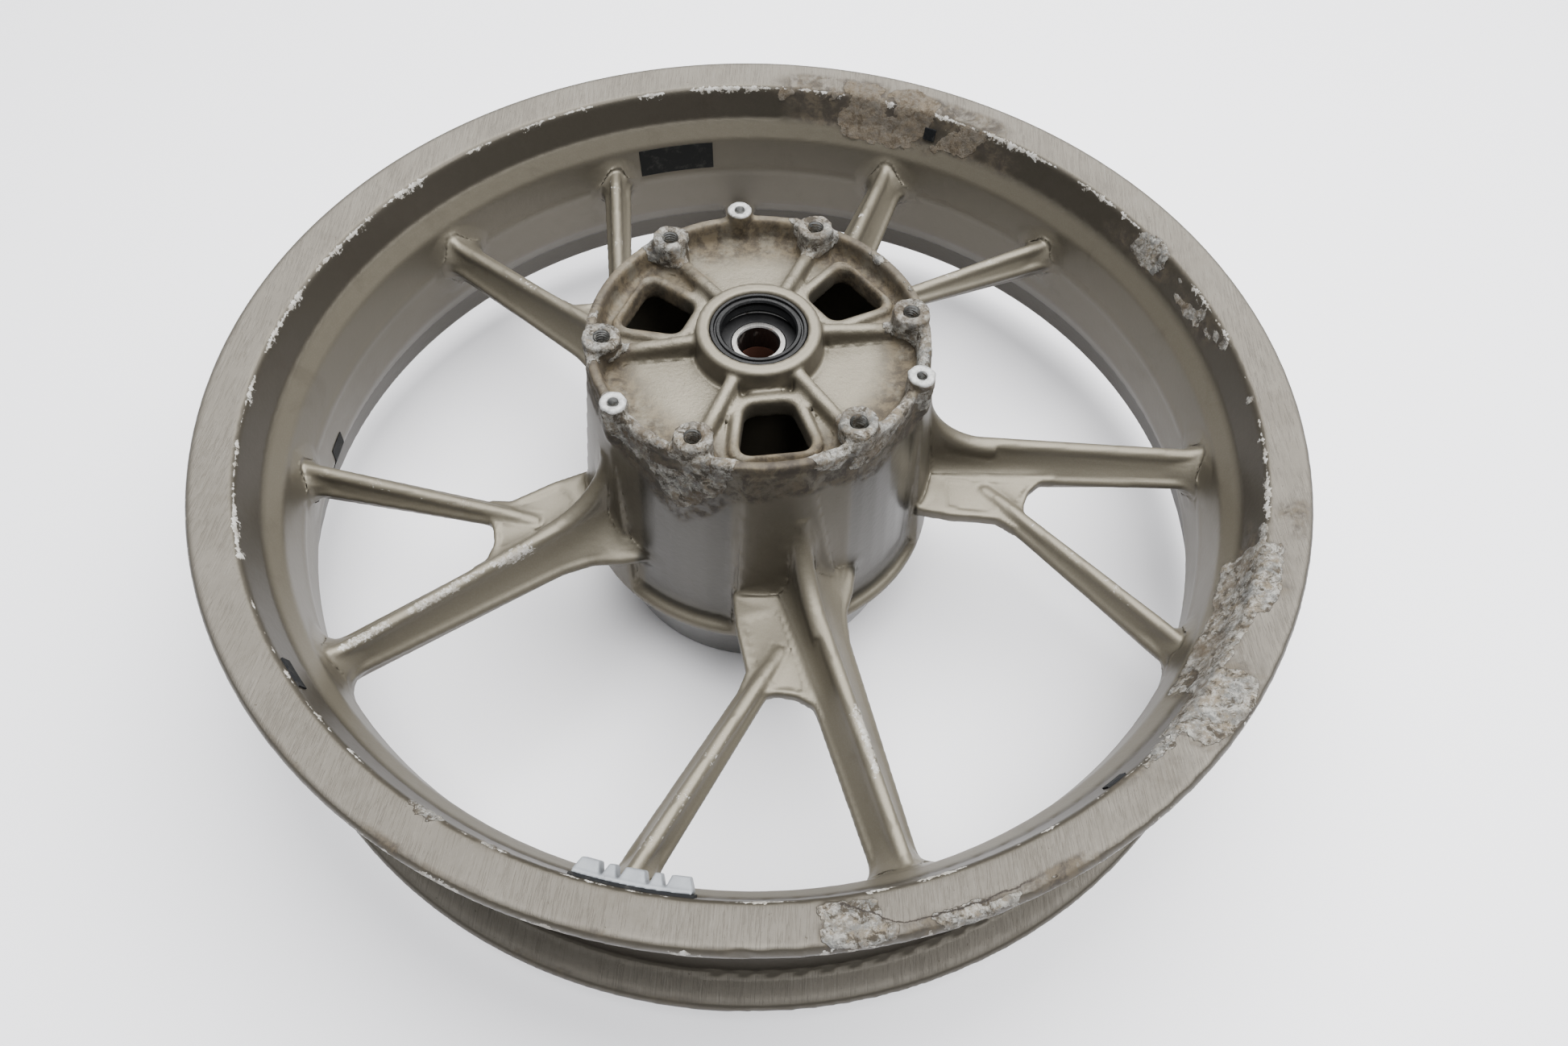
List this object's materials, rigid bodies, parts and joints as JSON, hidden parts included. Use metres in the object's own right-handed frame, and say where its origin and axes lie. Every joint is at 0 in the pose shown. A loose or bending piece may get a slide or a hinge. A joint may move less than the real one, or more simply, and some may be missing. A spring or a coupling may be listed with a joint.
{
  "type": "motorcycle rear wheel",
  "caption": "Cast drop-centre motorcycle wheel with forked spokes, a tall hub with brake-disc bosses, a cush-drive drum and sealed axle bearings.",
  "frame": {"origin": "centre of the wheel: the axle line where it crosses the middle plane of the rim", "axes": "+Z along the axle towards the brake-disc side; +X near the crest of the first main spoke; +Y completes a right-handed frame"},
  "size_m": [0.464, 0.464, 0.1576],
  "materials": {
    "cast_aluminium": "satin",
    "bearing_steel": "polished",
    "ball_steel": "polished",
    "cage_steel": "satin",
    "bearing_rubber": "matte",
    "rusty_steel": "matte",
    "seal_rubber": "satin",
    "spring_steel": "satin",
    "damper_rubber": "matte",
    "valve_alloy": "satin",
    "valve_brass": "satin",
    "cap_plastic": "matte",
    "coated_zinc": "satin",
    "foam_tape": "matte",
    "cloth_tape": "matte"
  },
  "bodies": {
    "wheel": {"wheel_casting": "cast_aluminium", "disc_bearing_outer_ring": "bearing_steel", "disc_bearing_shields": "bearing_rubber", "drive_bearing_outer_ring": "bearing_steel", "drive_bearing_shields": "bearing_rubber", "shaft_seal": "seal_rubber", "seal_garter_spring": "spring_steel", "retaining_ring": "spring_steel", "valve_stem": "valve_alloy", "valve_seal": "seal_rubber", "valve_nut": "valve_alloy", "valve_core": "valve_brass", "valve_cap": "cap_plastic", "balance_weight": "coated_zinc", "balance_weight_tape": "foam_tape", "old_tape_pads": "foam_tape", "barrel_tape_patch": "cloth_tape", "square_tape_patch": "cloth_tape", "damper_rubber_1": "damper_rubber", "damper_rubber_2": "damper_rubber", "damper_rubber_3": "damper_rubber", "damper_rubber_4": "damper_rubber", "damper_rubber_5": "damper_rubber"},
    "axle_sleeve": {"disc_bearing_inner_ring": "bearing_steel", "spacer_tube": "rusty_steel", "drive_bearing_inner_ring": "bearing_steel"},
    "disc_ball_set": {"disc_bearing_balls": "ball_steel", "disc_bearing_cage": "cage_steel"},
    "drive_ball_set": {"drive_bearing_balls": "ball_steel", "drive_bearing_cage": "cage_steel"}
  },
  "joints": [
    {"name": "sleeve_spin", "type": "hinge", "parent": "wheel", "child": "axle_sleeve", "pos_m": [0, 0, 0], "axis": [0, 0, 1], "continuous": true},
    {"name": "disc_balls_roll", "type": "hinge", "parent": "wheel", "child": "disc_ball_set", "pos_m": [0, 0, 0.069], "axis": [0, 0, 1], "continuous": true},
    {"name": "drive_balls_roll", "type": "hinge", "parent": "wheel", "child": "drive_ball_set", "pos_m": [0, 0, -0.034], "axis": [0, 0, 1], "continuous": true}
  ],
  "couplings": [
    {"joint": "disc_balls_roll", "follows": "sleeve_spin", "ratio": 0.3818},
    {"joint": "drive_balls_roll", "follows": "sleeve_spin", "ratio": 0.3818}
  ]
}
